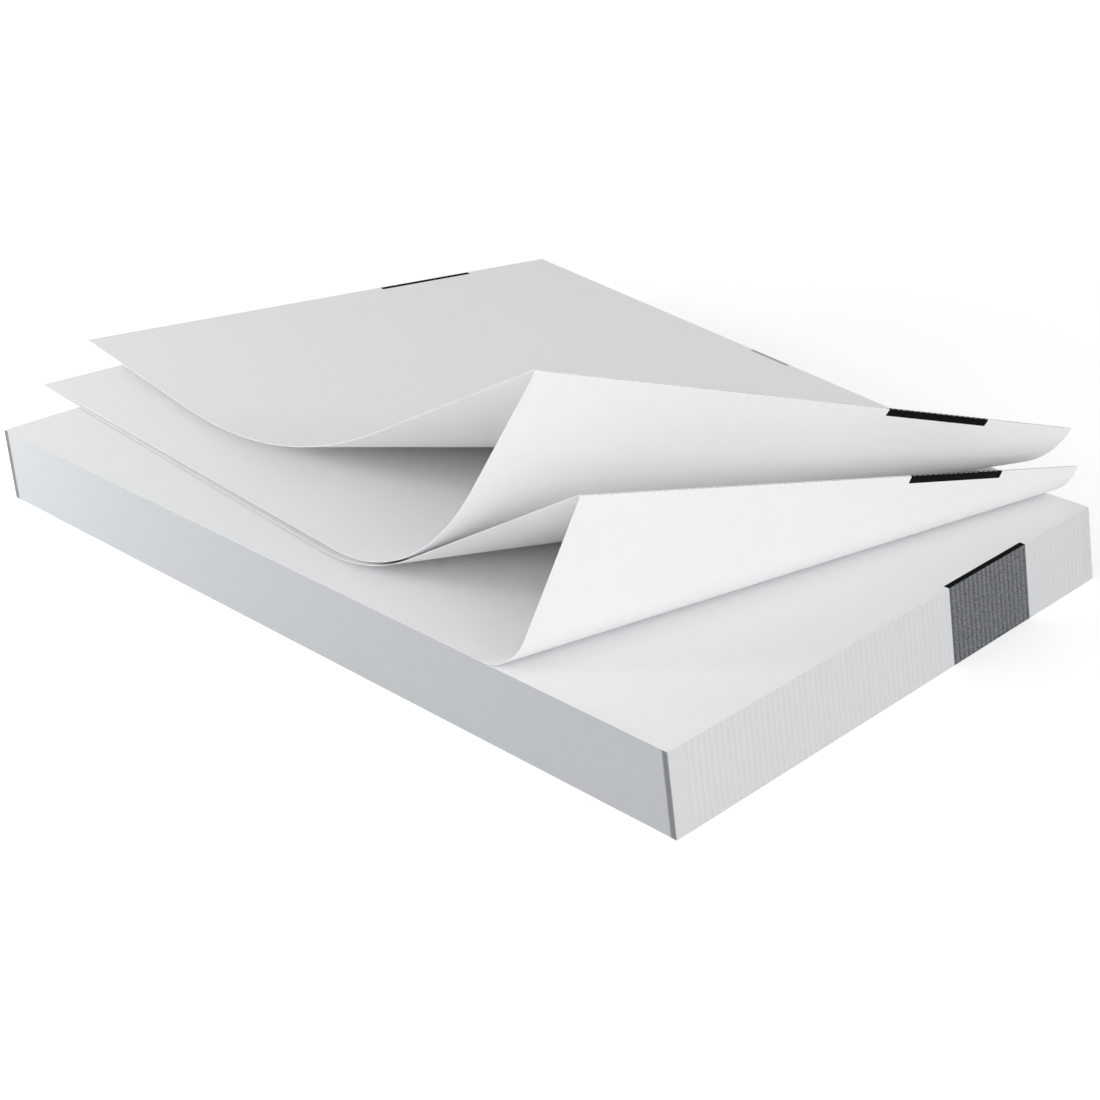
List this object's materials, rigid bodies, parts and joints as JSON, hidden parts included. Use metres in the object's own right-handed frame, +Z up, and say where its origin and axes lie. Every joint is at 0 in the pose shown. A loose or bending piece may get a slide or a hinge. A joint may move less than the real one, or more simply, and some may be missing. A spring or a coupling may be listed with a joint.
{
  "type": "fanfold continuous form paper",
  "caption": "Pile of plain white fanfold form paper with perforated folds, its top leaves fanned up off the pile.",
  "frame": {"origin": "middle of the pile's bottom face", "axes": "+X along the strip from the left fold face to the right fold face, +Y along the folds to the far cut face, +Z up"},
  "size_m": [0.3502, 0.2728, 0.1034],
  "materials": {
    "paper": "matte"
  },
  "bodies": {
    "root": {"form_strip": "paper"}
  },
  "joints": []
}
